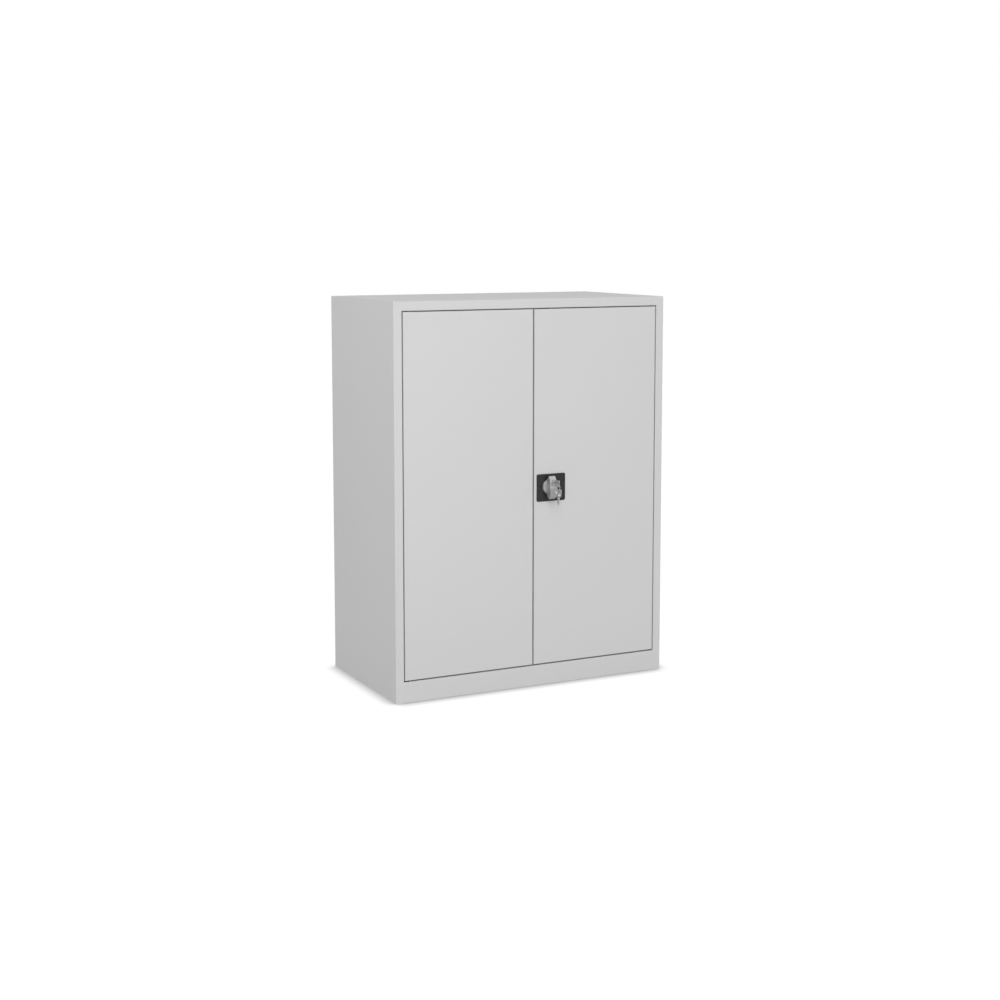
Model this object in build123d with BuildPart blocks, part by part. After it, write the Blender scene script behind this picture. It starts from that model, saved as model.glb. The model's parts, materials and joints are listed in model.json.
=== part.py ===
from build123d import *
import os
from math import acos, cos, pi, radians, sin, sqrt, tan

os.makedirs("parts", exist_ok=True)

# Body of the cabinet, folded from steel sheet
cabinet_width = 800
cabinet_depth = 435
cabinet_height = 1040
sheet = 0.8
fold_radius = 1.6            # of the middle of the sheet in every fold
flange = 18                  # edges folded in to be welded or to stand on the floor
stile_width = 23
top_rail_height = 24.5
plinth_height = 55.5
stop_lip = 12                # height of the folded stops behind the doors
stop_gap = 4                 # from the back of a closed door to its stop
back_foot = 12               # fold of the back panel that stands on the floor pan
panel_fit = 0.2              # between welded panels that are slid together
overrun = 5                  # what every cut runs past the piece it cuts
clearance = 0.3              # between pieces that move past each other
running_fit = 0.05           # radial, of a shaft in its bearing

# Doors and their pivots
door_gap = 2.5               # round the outer edges and the tops of the doors
bottom_gap = 3.2             # under the doors
centre_gap = 3.4             # between the doors
door_thickness = 18
door_return = 18             # fold at the back of the door's edges
door_corner = 1.2
pivot_inset = 8              # from a door's outer edge to its pivot
pin_diameter = 6
pin_reach = 10               # of a pivot pin into its door
pin_head_height = 2
washer_diameter = 9.5
bush_diameter = 8
bush_collar = 9              # also the head of a pivot pin
bush_length = 12
buffer_diameter = 8
buffer_inset = 28            # from a door's free edge

# Folded hat sections: door stiffeners, slotted uprights and shelf stiffeners
hat_foot = 9
door_hat_crown = 34
door_hat_rise = 13
shelf_hat_crown = 40
shelf_hat_rise = 15
hat_end_gap = 2
upright_crown = 26
upright_rise = 12
front_upright_depth = 64     # from the cabinet's front to the front uprights
rear_upright_inset = 50      # from the cabinet's back to the rear uprights
slot_width = 14
slot_height = 4
slot_spacing = 25
slot_margin = 22             # from an upright's end to its first slot

# Shelves and their clips
shelf_thickness = 25
shelf_return = 14
shelf_front_depth = 34
shelf_back_gap = 3
shelf_side_gap = 0.7
lower_shelf_slot = 12        # counted from the lowest slot
upper_shelf_slot = 25
clip_sheet = 1.5
clip_fold = 1.2
clip_leg = 14
clip_ledge = 11
clip_hook = 5

# Lock: places are from the cabinet's middle and from the floor
spindle_x = 44
spindle_z = 540
spindle_square = 8
spindle_thread = 6
plate_width = 85.5
plate_height = 73.5
plate_thickness = 3
plate_corner = 4.5
plate_bevel = 0.8
plate_shift = 7.75           # of the plate's middle past the spindle
plate_drop = 2.5             # of the plate's middle below the spindle
dish_diameter = 58
dish_depth = 0.8

# Knob
knob_length = 61
knob_end_width = 18
knob_waist_width = 19
knob_reach = 32              # from the door's front to the knob's foremost face
knob_tip_reach = 22.5
knob_tip_thickness = 3
knob_top_flat = 20           # where the front face starts to slope to the top end
knob_bottom_flat = 23.5
knob_step = 2.5              # the half with the cylinder lies lower by this
knob_step_slope = 5
knob_step_height = -2        # of the slope's lower edge above the spindle
knob_foot_length = 17
rose_diameter = 37.5
rose_reach = 9
rose_bevel = 1.2
bevel_slope = 45             # degrees
neck_diameter = 16
knob_round = 0.7
socket_depth = 14

# Key and cylinder
cylinder_rise = 14.5         # of the cylinder above the spindle
cylinder_diameter = 11
cylinder_length = 21
cylinder_sink = 0.8
cylinder_rim = 14.5
key_thickness = 1.8
key_bow_width = 17
key_bow_length = 22.5
key_bow_corner = 2.2
key_shoulder = 4.5
key_blade_width = 6
key_blade_length = 19
key_tip = 2.5
key_cut_depth = 1.6
key_cut_spacing = 3.4
key_cut_count = 4
key_hole_diameter = 5.5
key_hole_inset = 4.5         # from the outer end of the bow
key_stand_off = 10           # between the knob and the bow
ring_diameter = 18.5
ring_wire = 1.8
ring_turn = 56               # degrees from straight ahead to the ring's plane

# Rack and pinion of the rods
gear_module = 1.5
pinion_teeth = 14
pressure_angle = 20
addendum_share = 0.8         # of the module, short teeth
dedendum_share = 1.0
backlash = 0.15              # taken off every tooth
gear_thickness = 6
hub_diameter = 13
rack_back = 5
rack_teeth = 6
rod_diameter = 8
rod_spigot = 4
rod_chamfer = 1.2
foot_height = 9
foot_wall = 6                # from the rod's axis to the end of a rack's foot
guide_wall = 4
guide_height = 14
guide_spacing = 250          # from the spindle to a rod guide
keeper_width = 40
keeper_thickness = 2

# Lock case
case_wall = 1.5
case_depth = 13.5
post_diameter = 7
screw_diameter = 3
screw_head_diameter = 5.5
screw_head_height = 1.1
screw_length = 8

# Latch tongue and its keeper on the other door
tongue_thickness = 3
tongue_width = 12
tongue_length = 60
tongue_hub = 22
tongue_gap = 0.5
nut_width = 10
nut_height = 5
stub_length = 6.5
centre_keeper_sheet = 1.5
centre_keeper_width = 14
centre_keeper_reach = 9      # above the middle of the thrown tongue
centre_keeper_foot = 18

# Places that follow from the sizes above
middle = sheet / 2
fold_outside = fold_radius + middle
half_width = cabinet_width / 2
wall_inside = half_width - sheet
opening_half = half_width - stile_width
stop_depth = door_thickness + stop_gap
floor_top = plinth_height + stop_lip
rail_underside = cabinet_height - top_rail_height
rail_end = opening_half + fold_outside
door_width = opening_half - door_gap - centre_gap / 2
door_bottom = plinth_height + bottom_gap
door_top = rail_underside - door_gap
door_height = door_top - door_bottom
door_middle_x = (centre_gap + door_width) / 2
door_middle_z = (door_bottom + door_top) / 2
pivot_x = opening_half - door_gap - pivot_inset
pivot_depth = fold_outside + bush_collar / 2 + panel_fit

key_z = spindle_z + cylinder_rise
upper_face = knob_reach - knob_step
bow_start = upper_face + key_stand_off
key_hole_reach = bow_start + key_bow_length - key_hole_inset
ring_radius = (ring_diameter - ring_wire) / 2
ring_seat = (key_hole_diameter - ring_wire) / 2 - 2 * clearance
ring_forward = ring_radius * cos(radians(ring_turn)) + ring_wire / 2
lock_reach = max(key_hole_reach + ring_forward, bow_start + key_bow_length)

front = (lock_reach - cabinet_depth) / 2
back = front + cabinet_depth
rod_x = spindle_x + plate_shift
rod_depth = door_thickness / 2


def facing(depth, x=0, z=0):
    # plane parallel to the doors and this far behind the cabinet's front, looking forward
    return Plane(origin=(x, front + depth, z), x_dir=(1, 0, 0), z_dir=(0, -1, 0))


def save(piece, name):
    piece.part.label = name
    export_step(piece.part, f"parts/{name}.step")


def folded(points, plane, length, thickness=sheet, radius=fold_radius):
    # sheet bent along a line of points and carried along the plane's normal
    with BuildPart() as bent:
        with BuildSketch(plane):
            with BuildLine():
                FilletPolyline(*points, radius=radius)
            trace(line_width=thickness)
        extrude(amount=length)
    return bent.part


def pan(plane, centre, width, height, depth, returned):
    # shallow pan: a face on the plane, four edges folded back and folded in again
    with BuildPart() as shell:
        with BuildSketch(plane):
            with Locations(centre):
                RectangleRounded(width, height, door_corner)
        extrude(amount=-depth)
        across = Axis(plane.origin, plane.z_dir)
        fillet(shell.faces().sort_by(across)[-1].edges(), fold_outside)
        with BuildSketch(plane.offset(-sheet)):
            with Locations(centre):
                Rectangle(width - 2 * sheet, height - 2 * sheet)
        extrude(amount=2 * sheet - depth, mode=Mode.SUBTRACT)
        inner = shell.faces().filter_by(across).sort_by(across)[-2]
        fillet(inner.edges(), fold_outside - sheet)
        with BuildSketch(plane.offset(-depth + sheet + overrun)):
            with Locations(centre):
                Rectangle(width - 2 * returned, height - 2 * returned)
        extrude(amount=-sheet - 2 * overrun, mode=Mode.SUBTRACT)
    return shell.part


def hat(crown, rise, wall, inward):
    # points of a hat section: feet on the wall, crown standing off it by rise
    seat = wall + inward * middle
    top = wall + inward * (rise - middle)
    half = crown / 2
    rising = [(-half - hat_foot, seat), (-half, seat), (-half, top)]
    return rising + [(-x, z) for x, z in reversed(rising)]


# Side panels
for side, name in ((-1, "left"), (1, "right")):
    section = [
        (side * (half_width - flange), back - middle),
        (side * (half_width - middle), back - middle),
        (side * (half_width - middle), front + middle),
        (side * (opening_half + middle), front + middle),
        (side * (opening_half + middle), front + stop_depth + middle),
        (side * (opening_half - stop_lip), front + stop_depth + middle),
    ]
    blank = folded(section, Plane.XY, cabinet_height)
    with BuildPart() as side_panel:
        add(blank)
        with BuildSketch(Plane.XY.offset(cabinet_height - sheet)):
            Rectangle(2 * wall_inside, cabinet_depth * 2)
        extrude(amount=sheet + overrun, mode=Mode.SUBTRACT)
        stop_y = front + stop_depth + middle
        with BuildSketch(Plane.XY.offset(-overrun)):
            with Locations((0, stop_y)):
                Rectangle(2 * opening_half, 2 * fold_outside)
            with Locations((0, back)):
                Rectangle(2 * wall_inside, 2 * fold_outside)
        extrude(amount=floor_top + overrun, mode=Mode.SUBTRACT)
        with BuildSketch(Plane.XY.offset(rail_underside - stop_lip)):
            with Locations((0, stop_y)):
                Rectangle(2 * opening_half, 2 * fold_outside)
        extrude(amount=cabinet_height, mode=Mode.SUBTRACT)
        with BuildSketch(Plane.XY.offset(cabinet_height - flange)):
            with Locations((0, back)):
                Rectangle(2 * wall_inside, 2 * fold_outside)
        extrude(amount=cabinet_height, mode=Mode.SUBTRACT)
        for low, high in ((-overrun, plinth_height), (rail_underside, cabinet_height)):
            with BuildSketch(Plane.XY.offset(low)):
                with Locations((0, front)):
                    Rectangle(2 * rail_end, 2 * (stop_depth + fold_outside))
            extrude(amount=high - low, mode=Mode.SUBTRACT)
    save(side_panel, f"{name}_side_panel")

# Top panel with the rail over the doors and the stop behind them
span = Plane.YZ.offset(-wall_inside)
top_section = [
    (back - middle, cabinet_height - flange),
    (back - middle, cabinet_height - middle),
    (front + middle, cabinet_height - middle),
    (front + middle, rail_underside + middle),
    (front + stop_depth + middle, rail_underside + middle),
    (front + stop_depth + middle, rail_underside - stop_lip),
]
weld_start = front + stop_depth + sheet
weld_end = back - 2 * sheet - panel_fit
weld_edges = [(side * (wall_inside - middle), (weld_start + weld_end) / 2) for side in (-1, 1)]
notch_width = wall_inside - rail_end + overrun
notch_depth = stop_depth + sheet + overrun
notch_y = weld_start - notch_depth / 2
notches = [(side * (rail_end + notch_width / 2), notch_y) for side in (-1, 1)]
stop_notches = [(side * (opening_half + fold_outside / 2), notch_y) for side in (-1, 1)]
blank = folded(top_section, span, 2 * wall_inside)
with BuildPart() as top_panel:
    add(blank)
    with BuildSketch(Plane.XY.offset(cabinet_height - sheet)):
        with Locations(*notches):
            Rectangle(notch_width, notch_depth)
    extrude(amount=-top_rail_height - stop_lip - overrun, mode=Mode.SUBTRACT)
    with BuildSketch(Plane.XY.offset(rail_underside)):
        with Locations(*stop_notches):
            Rectangle(fold_outside, notch_depth)
    extrude(amount=-stop_lip - overrun, mode=Mode.SUBTRACT)
    with BuildSketch(Plane.XY.offset(cabinet_height - middle)):
        with Locations(*weld_edges):
            Rectangle(sheet, weld_end - weld_start)
    extrude(amount=middle - flange)
    with BuildSketch(Plane.XY.offset(rail_underside - overrun)):
        with Locations((-pivot_x, front + pivot_depth), (pivot_x, front + pivot_depth)):
            Circle(pin_diameter / 2)
        with Locations((rod_x, front + rod_depth)):
            Circle(rod_diameter / 2 + 2 * clearance)
    extrude(amount=2 * overrun, mode=Mode.SUBTRACT)
save(top_panel, "top_panel")

# Bottom panel: plinth, stop step, floor and rear plinth
bottom_section = [
    (front + flange, middle),
    (front + middle, middle),
    (front + middle, plinth_height - middle),
    (front + stop_depth + middle, plinth_height - middle),
    (front + stop_depth + middle, floor_top - middle),
    (back - middle, floor_top - middle),
    (back - middle, middle),
    (back - flange, middle),
]
blank = folded(bottom_section, span, 2 * wall_inside)
with BuildPart() as bottom_panel:
    add(blank)
    with BuildSketch(Plane.XY.offset(-overrun)):
        with Locations(*notches):
            Rectangle(notch_width, notch_depth)
    extrude(amount=floor_top + 2 * overrun, mode=Mode.SUBTRACT)
    with BuildSketch(Plane.XY.offset(plinth_height)):
        with Locations(*stop_notches):
            Rectangle(fold_outside, notch_depth)
    extrude(amount=stop_lip + overrun, mode=Mode.SUBTRACT)
    with BuildSketch(Plane.XY.offset(floor_top - middle)):
        with Locations(*weld_edges):
            Rectangle(sheet, weld_end - weld_start)
    extrude(amount=middle - flange)
    with BuildSketch(Plane.XY.offset(plinth_height - overrun)):
        with Locations((-pivot_x, front + pivot_depth), (pivot_x, front + pivot_depth)):
            Circle(pin_diameter / 2)
        with Locations((rod_x, front + rod_depth)):
            Circle(rod_diameter / 2 + 2 * clearance)
    extrude(amount=2 * overrun, mode=Mode.SUBTRACT)
save(bottom_panel, "bottom_panel")

# Back panel, inside the flanges and standing on the floor pan
back_sheet_y = back - sheet - middle
back_section = [
    (back_sheet_y - back_foot, floor_top + middle),
    (back_sheet_y, floor_top + middle),
    (back_sheet_y, cabinet_height - fold_outside - panel_fit),
]
back_half = half_width - fold_outside - panel_fit
blank = folded(back_section, Plane.YZ.offset(-back_half), 2 * back_half)
with BuildPart() as back_panel:
    add(blank)
save(back_panel, "back_panel")

# Slotted uprights
upright_top = cabinet_height - flange - panel_fit
upright_height = upright_top - floor_top
slot_count = int((upright_height - 2 * slot_margin) // slot_spacing) + 1
crown_x = wall_inside - upright_rise
upright_places = {"front": front + front_upright_depth, "rear": back - rear_upright_inset}
for side, side_name in ((-1, "left"), (1, "right")):
    for place, upright_y in upright_places.items():
        section = [(side * x, upright_y + y) for y, x in hat(upright_crown, upright_rise, wall_inside, -1)]
        blank = folded(section, Plane.XY.offset(floor_top), upright_height)
        with BuildPart() as upright:
            add(blank)
            slots_middle = floor_top + slot_margin + (slot_count - 1) / 2 * slot_spacing
            with BuildSketch(Plane.YZ.offset(side * crown_x)):
                with Locations((upright_y, slots_middle)):
                    with GridLocations(slot_spacing, slot_spacing, 1, slot_count):
                        Rectangle(slot_width, slot_height)
            extrude(amount=upright_rise / 2, both=True, mode=Mode.SUBTRACT)
        save(upright, f"{side_name}_{place}_upright")

# Shelves, their stiffeners and their clips
shelf_half = crown_x - clip_sheet - shelf_side_gap
shelf_front = front + shelf_front_depth
shelf_back = back - 2 * sheet - shelf_back_gap
shelf_middle = (shelf_front + shelf_back) / 2
for slot, name in ((lower_shelf_slot, "lower"), (upper_shelf_slot, "upper")):
    slot_z = floor_top + slot_margin + slot * slot_spacing
    ledge_z = slot_z - clip_leg
    shelf_top = ledge_z + clip_sheet / 2 + shelf_thickness
    plane = Plane.XY.offset(shelf_top)
    shelf_depth = shelf_back - shelf_front
    blank = pan(plane, (0, shelf_middle), 2 * shelf_half, shelf_depth, shelf_thickness, shelf_return)
    with BuildPart() as shelf:
        add(blank)
    save(shelf, f"{name}_shelf")
    rib_half = shelf_half - sheet - hat_end_gap
    section = [(shelf_middle + y, z) for y, z in hat(shelf_hat_crown, shelf_hat_rise, shelf_top - sheet, -1)]
    blank = folded(section, Plane.YZ.offset(-rib_half), 2 * rib_half)
    with BuildPart() as shelf_stiffener:
        add(blank)
    save(shelf_stiffener, f"{name}_shelf_stiffener")
    clip_width = slot_width - 2 * clearance
    with BuildPart() as shelf_clips:
        for side in (-1, 1):
            leg_x = crown_x - clip_sheet / 2
            section = [
                (side * (crown_x + clip_hook), slot_z),
                (side * leg_x, slot_z),
                (side * leg_x, ledge_z),
                (side * (crown_x - clip_ledge), ledge_z),
            ]
            for upright_y in upright_places.values():
                plane = Plane.XZ.offset(-upright_y - clip_width / 2)
                with BuildSketch(plane):
                    with BuildLine():
                        FilletPolyline(*section, radius=clip_fold)
                    trace(line_width=clip_sheet)
                extrude(amount=clip_width)
    save(shelf_clips, f"{name}_shelf_clips")

# Rubber buffers on the stops, near the free edges of the doors
buffer_x = centre_gap / 2 + buffer_inset
buffer_low = plinth_height + stop_lip / 2
buffer_high = rail_underside - stop_lip / 2
with BuildPart() as door_buffers:
    with BuildSketch(facing(stop_depth)):
        with Locations(*[(x, z) for x in (-buffer_x, buffer_x) for z in (buffer_low, buffer_high)]):
            Circle(buffer_diameter / 2)
    extrude(amount=stop_gap - clearance)
save(door_buffers, "door_buffers")

# Pivot pins and washers: the pins hang from the rail above and stand in the plinth below
pivot_seats = (("lower", plinth_height, 1, bottom_gap), ("upper", rail_underside, -1, door_gap))
for side, side_name in ((-1, "left"), (1, "right")):
    for end, seat, out, gap in pivot_seats:
        with BuildPart() as pivot:
            head_seat = seat - out * sheet
            with BuildSketch(Plane.XY.offset(head_seat)):
                with Locations((side * pivot_x, front + pivot_depth)):
                    Circle(bush_collar / 2)
            extrude(amount=-out * pin_head_height)
            with BuildSketch(Plane.XY.offset(head_seat)):
                with Locations((side * pivot_x, front + pivot_depth)):
                    Circle(pin_diameter / 2)
            extrude(amount=out * (sheet + gap + pin_reach))
            tip = pivot.faces().sort_by(Axis.Z)[-1 if out > 0 else 0]
            chamfer(tip.edges(), pin_diameter / 6)
        save(pivot, f"{side_name}_{end}_pivot")
for end, seat, out, gap in pivot_seats:
    with BuildPart() as washers:
        with BuildSketch(Plane.XY.offset(seat)):
            with Locations((-pivot_x, front + pivot_depth), (pivot_x, front + pivot_depth)):
                Circle(washer_diameter / 2)
                Circle(pin_diameter / 2 + running_fit, mode=Mode.SUBTRACT)
        extrude(amount=out * (gap - clearance))
    save(washers, f"{end}_pivot_washers")

# Keepers of the lock rods, inside the rail and inside the plinth
for end, seat, out in (("lower", plinth_height - sheet, -1), ("upper", rail_underside + sheet, 1)):
    with BuildPart() as keeper:
        with BuildSketch(Plane.XY.offset(seat)):
            with Locations((rod_x, front + rod_depth)):
                SlotOverall(keeper_width, door_thickness - 2 * fold_outside)
                Circle(rod_diameter / 2 + clearance, mode=Mode.SUBTRACT)
        extrude(amount=out * keeper_thickness)
    save(keeper, f"{end}_keeper")

# Doors with their stiffeners and bushes
for side, name in ((-1, "left"), (1, "right")):
    centre = (side * door_middle_x, door_middle_z)
    blank = pan(facing(0), centre, door_width, door_height, door_thickness, door_return)
    with BuildPart() as door_panel:
        add(blank)
        for edge_z in (door_bottom, door_top):
            with BuildSketch(Plane.XY.offset(edge_z - overrun)):
                with Locations((side * pivot_x, front + pivot_depth)):
                    Circle(bush_diameter / 2 + running_fit)
                if side > 0:
                    with Locations((rod_x, front + rod_depth)):
                        Circle(rod_diameter / 2 + clearance)
            extrude(amount=2 * overrun, mode=Mode.SUBTRACT)
        if side > 0:
            with BuildSketch(facing(sheet + overrun)):
                with Locations((spindle_x, spindle_z)):
                    Circle(spindle_square / sqrt(2) + clearance)
            extrude(amount=2 * overrun, mode=Mode.SUBTRACT)
    save(door_panel, f"{name}_door_panel")
    rib_bottom = door_bottom + sheet + hat_end_gap
    section = [
        (side * door_middle_x + x, front + y) for x, y in hat(door_hat_crown, door_hat_rise, sheet, 1)
    ]
    blank = folded(section, Plane.XY.offset(rib_bottom), door_height - 2 * (sheet + hat_end_gap))
    with BuildPart() as door_stiffener:
        add(blank)
    save(door_stiffener, f"{name}_door_stiffener")
    with BuildPart() as door_bushes:
        for edge_z, inward in ((door_bottom, 1), (door_top, -1)):
            with BuildSketch(Plane.XY.offset(edge_z)):
                with Locations((side * pivot_x, front + pivot_depth)):
                    Circle(bush_diameter / 2)
            extrude(amount=inward * bush_length)
            with BuildSketch(Plane.XY.offset(edge_z + inward * sheet)):
                with Locations((side * pivot_x, front + pivot_depth)):
                    Circle(bush_collar / 2)
            extrude(amount=inward * (bush_length - sheet))
            with BuildSketch(Plane.XY.offset(edge_z)):
                with Locations((side * pivot_x, front + pivot_depth)):
                    Circle(pin_diameter / 2 + running_fit)
            extrude(amount=inward * (bush_length + overrun), mode=Mode.SUBTRACT)
    save(door_bushes, f"{name}_door_bushes")

# Lock plate with a bevelled border and a shallow round dish for the knob
with BuildPart() as lock_plate:
    with BuildSketch(facing(0)):
        with Locations((spindle_x + plate_shift, spindle_z - plate_drop)):
            RectangleRounded(plate_width, plate_height, plate_corner)
    extrude(amount=plate_thickness)
    chamfer(lock_plate.faces().sort_by(Axis.Y)[0].edges(), plate_bevel)
    with BuildSketch(facing(-plate_thickness, spindle_x, spindle_z)):
        Circle(dish_diameter / 2)
    extrude(amount=-dish_depth, mode=Mode.SUBTRACT)
    with BuildSketch(facing(overrun, spindle_x, spindle_z)):
        Circle(neck_diameter / 2 + running_fit)
    extrude(amount=plate_thickness + 2 * overrun, mode=Mode.SUBTRACT)
save(lock_plate, "lock_plate")

# Knob: a bar with sloping ends on a round rose, lower where the cylinder sits
knob_half = knob_length / 2
rose_back = plate_thickness - dish_depth + clearance
side_points = [
    (knob_half, knob_tip_reach - knob_tip_thickness),
    (knob_half, knob_tip_reach),
    (knob_top_flat, upper_face),
    (knob_step_height + knob_step_slope, upper_face),
    (knob_step_height, knob_reach),
    (-knob_bottom_flat, knob_reach),
    (-knob_half, knob_tip_reach),
    (-knob_half, knob_tip_reach - knob_tip_thickness),
    (-knob_foot_length, rose_reach - 2 * rose_bevel),
    (knob_foot_length, rose_reach - 2 * rose_bevel),
]
with BuildPart() as handle_knob:
    with BuildSketch(Plane.YZ.offset(spindle_x)):
        with BuildLine():
            Polyline(*[(front - reach, spindle_z + rise) for rise, reach in side_points], close=True)
        make_face()
    extrude(amount=knob_waist_width, both=True)
    with BuildSketch(facing(0, spindle_x, spindle_z)):
        with BuildLine():
            right_top = (knob_end_width / 2, knob_half)
            right_bottom = (knob_end_width / 2, -knob_half)
            left_bottom = (-knob_end_width / 2, -knob_half)
            left_top = (-knob_end_width / 2, knob_half)
            ThreePointArc(right_top, (knob_waist_width / 2, 0), right_bottom)
            Line(right_bottom, left_bottom)
            ThreePointArc(left_bottom, (-knob_waist_width / 2, 0), left_top)
            Line(left_top, right_top)
        make_face()
    extrude(amount=knob_reach, mode=Mode.INTERSECT)
    fillet(handle_knob.edges(), knob_round)
    with BuildSketch(facing(-rose_back, spindle_x, spindle_z)):
        Circle(rose_diameter / 2)
    extrude(amount=rose_reach - rose_bevel - rose_back)
    with BuildSketch(facing(rose_bevel - rose_reach, spindle_x, spindle_z)):
        Circle(rose_diameter / 2)
    extrude(amount=rose_bevel, taper=bevel_slope)
    with BuildSketch(facing(-rose_back, spindle_x, spindle_z)):
        Circle(neck_diameter / 2)
    extrude(amount=clearance - rose_back)
    with BuildSketch(facing(overrun, spindle_x, spindle_z)):
        Rectangle(spindle_square + 2 * running_fit, spindle_square + 2 * running_fit)
    extrude(amount=overrun + socket_depth, mode=Mode.SUBTRACT)
    with BuildSketch(facing(-upper_face, spindle_x, key_z)):
        Circle(cylinder_rim / 2)
    extrude(amount=-cylinder_sink, mode=Mode.SUBTRACT)
    with BuildSketch(facing(-upper_face, spindle_x, key_z)):
        Circle(cylinder_diameter / 2 + running_fit)
    extrude(amount=-cylinder_length - cylinder_sink - clearance, mode=Mode.SUBTRACT)
save(handle_knob, "handle_knob")


def key_blank(tip, along, across):
    # flat key: tip is the outer end of its bow, along points to the blade, across lies in its flat
    plane = Plane(origin=tip, x_dir=along, z_dir=Vector(*along).cross(Vector(*across)))
    half_bow = key_bow_width / 2
    half_blade = key_blade_width / 2
    bow_end = key_bow_length
    blade_end = bow_end + key_blade_length
    outline = [
        (0, half_bow),
        (bow_end - key_shoulder, half_bow),
        (bow_end, half_blade),
        (blade_end - key_tip, half_blade),
        (blade_end, 0),
        (blade_end - key_tip, -half_blade),
    ]
    for cut in range(key_cut_count):
        cut_middle = blade_end - key_tip - (cut + 1 / 2) * key_cut_spacing
        depth = key_cut_depth * (1 - cut % 3 / 4)
        outline.append((cut_middle + key_cut_spacing / 3, -half_blade))
        outline.append((cut_middle, depth - half_blade))
        outline.append((cut_middle - key_cut_spacing / 3, -half_blade))
    outline += [(bow_end, -half_blade), (bow_end - key_shoulder, -half_bow), (0, -half_bow)]
    with BuildPart() as blank:
        with BuildSketch(plane):
            with BuildLine():
                Polyline(*outline, close=True)
            make_face()
            fillet(vertices().group_by(Axis.X)[0], key_bow_corner)
            with Locations((key_hole_inset, 0)):
                Circle(key_hole_diameter / 2, mode=Mode.SUBTRACT)
        extrude(amount=key_thickness / 2, both=True)
    return blank.part


# Cylinder plug, the key in it, the ring through the key's bow and the spare key on the ring
plug_face = upper_face - cylinder_sink
with BuildPart() as cylinder_plug:
    with BuildSketch(facing(-plug_face, spindle_x, key_z)):
        Circle(cylinder_diameter / 2)
    extrude(amount=-cylinder_length)
    with BuildSketch(facing(-plug_face, spindle_x, key_z)):
        Rectangle(key_thickness + 2 * running_fit, key_blade_width + 2 * running_fit)
    extrude(amount=bow_start - plug_face - key_blade_length - clearance, mode=Mode.SUBTRACT)
save(cylinder_plug, "cylinder_plug")

bow_reach = bow_start + key_bow_length
blank = key_blank((spindle_x, front - bow_reach, key_z), (0, 1, 0), (0, 0, 1))
with BuildPart() as key:
    add(blank)
save(key, "key")

ring_along = (sin(radians(ring_turn)), cos(radians(ring_turn)), 0)
ring_facing = (cos(radians(ring_turn)), -sin(radians(ring_turn)), 0)
ring_top = Vector(spindle_x, front - key_hole_reach, key_z - ring_seat)
ring_middle = ring_top - Vector(0, 0, ring_radius)
with BuildPart() as key_ring:
    with Locations(Plane(origin=ring_middle, x_dir=ring_along, z_dir=ring_facing)):
        Torus(ring_radius, ring_wire / 2)
save(key_ring, "key_ring")

spare_top = ring_middle - Vector(0, 0, ring_radius + ring_seat - key_hole_inset)
blank = key_blank(tuple(spare_top), (0, 0, -1), ring_facing)
with BuildPart() as spare_key:
    add(blank)
save(spare_key, "spare_key")

# Spindle, pinion and the two racks
pitch_radius = gear_module * pinion_teeth / 2
tooth_pitch = pi * gear_module
addendum = addendum_share * gear_module
dedendum = dedendum_share * gear_module
tooth_half = (tooth_pitch / 2 - backlash) / 2
slope = tan(radians(pressure_angle))
gear_plane_depth = rod_depth - gear_thickness / 2
rod_travel = pitch_radius * pi / 2


def tooth_half_angle(radius):
    # half the angle that an involute tooth takes up at this radius
    base = pitch_radius * cos(radians(pressure_angle))
    angle = acos(min(1, base / max(radius, base)))
    return tooth_half / pitch_radius + slope - radians(pressure_angle) - tan(angle) + angle


def pinion_outline():
    root = pitch_radius - dedendum
    base = pitch_radius * cos(radians(pressure_angle))
    tip = pitch_radius + addendum
    flank = [root, base, pitch_radius, tip]
    points = []
    for tooth in range(pinion_teeth):
        heading = tooth * 2 * pi / pinion_teeth
        rising = [(radius, heading - tooth_half_angle(radius)) for radius in flank]
        falling = [(radius, heading + tooth_half_angle(radius)) for radius in reversed(flank)]
        points += [(radius * cos(angle), radius * sin(angle)) for radius, angle in rising + falling]
    return points


def rack_outline(foot_top):
    # upper rack, as seen from the front with the spindle at zero
    root = pitch_radius + dedendum
    tip = pitch_radius - addendum
    lowest = -(rack_teeth - 1) * tooth_pitch
    points = [(root, lowest)]
    for tooth in range(rack_teeth):
        tooth_z = lowest + (tooth + 1 / 2) * tooth_pitch
        root_half = tooth_half + dedendum * slope
        tip_half = tooth_half - addendum * slope
        points += [(root, tooth_z - root_half), (tip, tooth_z - tip_half)]
        points += [(tip, tooth_z + tip_half), (root, tooth_z + root_half)]
    foot_end = rod_x - spindle_x - foot_wall
    points += [(root, foot_top - foot_height), (foot_end, foot_top - foot_height), (foot_end, foot_top)]
    points += [(root + rack_back, foot_top), (root + rack_back, lowest)]
    return points


cover_depth = sheet + case_depth
tongue_front = door_thickness + tongue_gap
tongue_back = tongue_front + tongue_thickness
with BuildPart() as spindle:
    with BuildSketch(facing(tongue_back, spindle_x, spindle_z)):
        Rectangle(spindle_square, spindle_square)
    extrude(amount=tongue_back + socket_depth - clearance)
    with BuildSketch(facing(tongue_back, spindle_x, spindle_z)):
        Circle(spindle_thread / 2)
    extrude(amount=-stub_length)
    chamfer(spindle.faces().sort_by(Axis.Y)[-1].edges(), spindle_thread / 8)
save(spindle, "spindle")

with BuildPart() as spindle_nut:
    with BuildSketch(facing(tongue_back, spindle_x, spindle_z)):
        RegularPolygon(nut_width / 2, 6, major_radius=False)
        Circle(spindle_thread / 2, mode=Mode.SUBTRACT)
    extrude(amount=-nut_height)
save(spindle_nut, "spindle_nut")

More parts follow.
